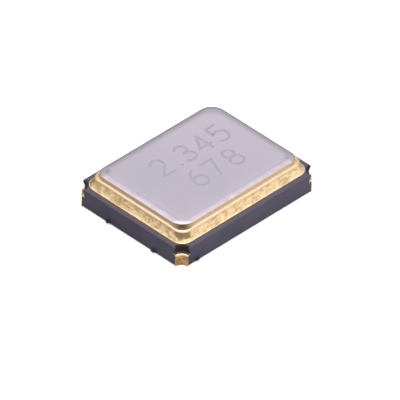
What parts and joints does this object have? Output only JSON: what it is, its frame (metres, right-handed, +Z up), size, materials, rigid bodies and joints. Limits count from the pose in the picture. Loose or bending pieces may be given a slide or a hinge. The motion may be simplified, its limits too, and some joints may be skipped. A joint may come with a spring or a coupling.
{
  "type": "crystal resonator",
  "caption": "Surface-mount quartz crystal in a flat rectangular ceramic package with a gold-plated seal ring, a welded metal lid and corner terminals.",
  "frame": {"origin": "middle of the footprint, on the face that the terminals put on the board", "axes": "+X along the package's long side, +Y along its short side, +Z up from the board through the lid; terminal 1 is at -X -Y"},
  "size_m": [0.0032, 0.0024, 0.0007],
  "materials": {
    "ceramic": "matt dark fired alumina",
    "gold_plate": "thin gold over nickel, satin",
    "gold_braze": "gold over silver-copper braze, mottled",
    "gold_ring": "gold over nickel, satin",
    "nickel_lid": "matt nickel plate",
    "tungsten_print": "matt fired metal paste",
    "alumina_print": "matt",
    "quartz": "finely lapped and etched",
    "silver_film": "vapour-coated silver",
    "silver_adhesive": "silver-filled, matt"
  },
  "bodies": {
    "root": {"ceramic_base": "ceramic", "terminal_1": "gold_plate", "terminal_2": "gold_plate", "terminal_3": "gold_plate", "terminal_4": "gold_plate", "ground_via_1": "tungsten_print", "ground_via_2": "tungsten_print", "floor_conductor_1": "gold_plate", "floor_conductor_2": "gold_plate", "mount_pad_1": "gold_plate", "mount_pad_2": "gold_plate", "rest_bump": "alumina_print", "quartz_blank": "quartz", "electrode_upper": "silver_film", "electrode_lower": "silver_film", "adhesive_dot_1": "silver_adhesive", "adhesive_dot_2": "silver_adhesive", "ring_land": "gold_plate", "ring_braze": "gold_braze", "seal_ring": "gold_ring", "lid": "nickel_lid"}
  },
  "joints": []
}
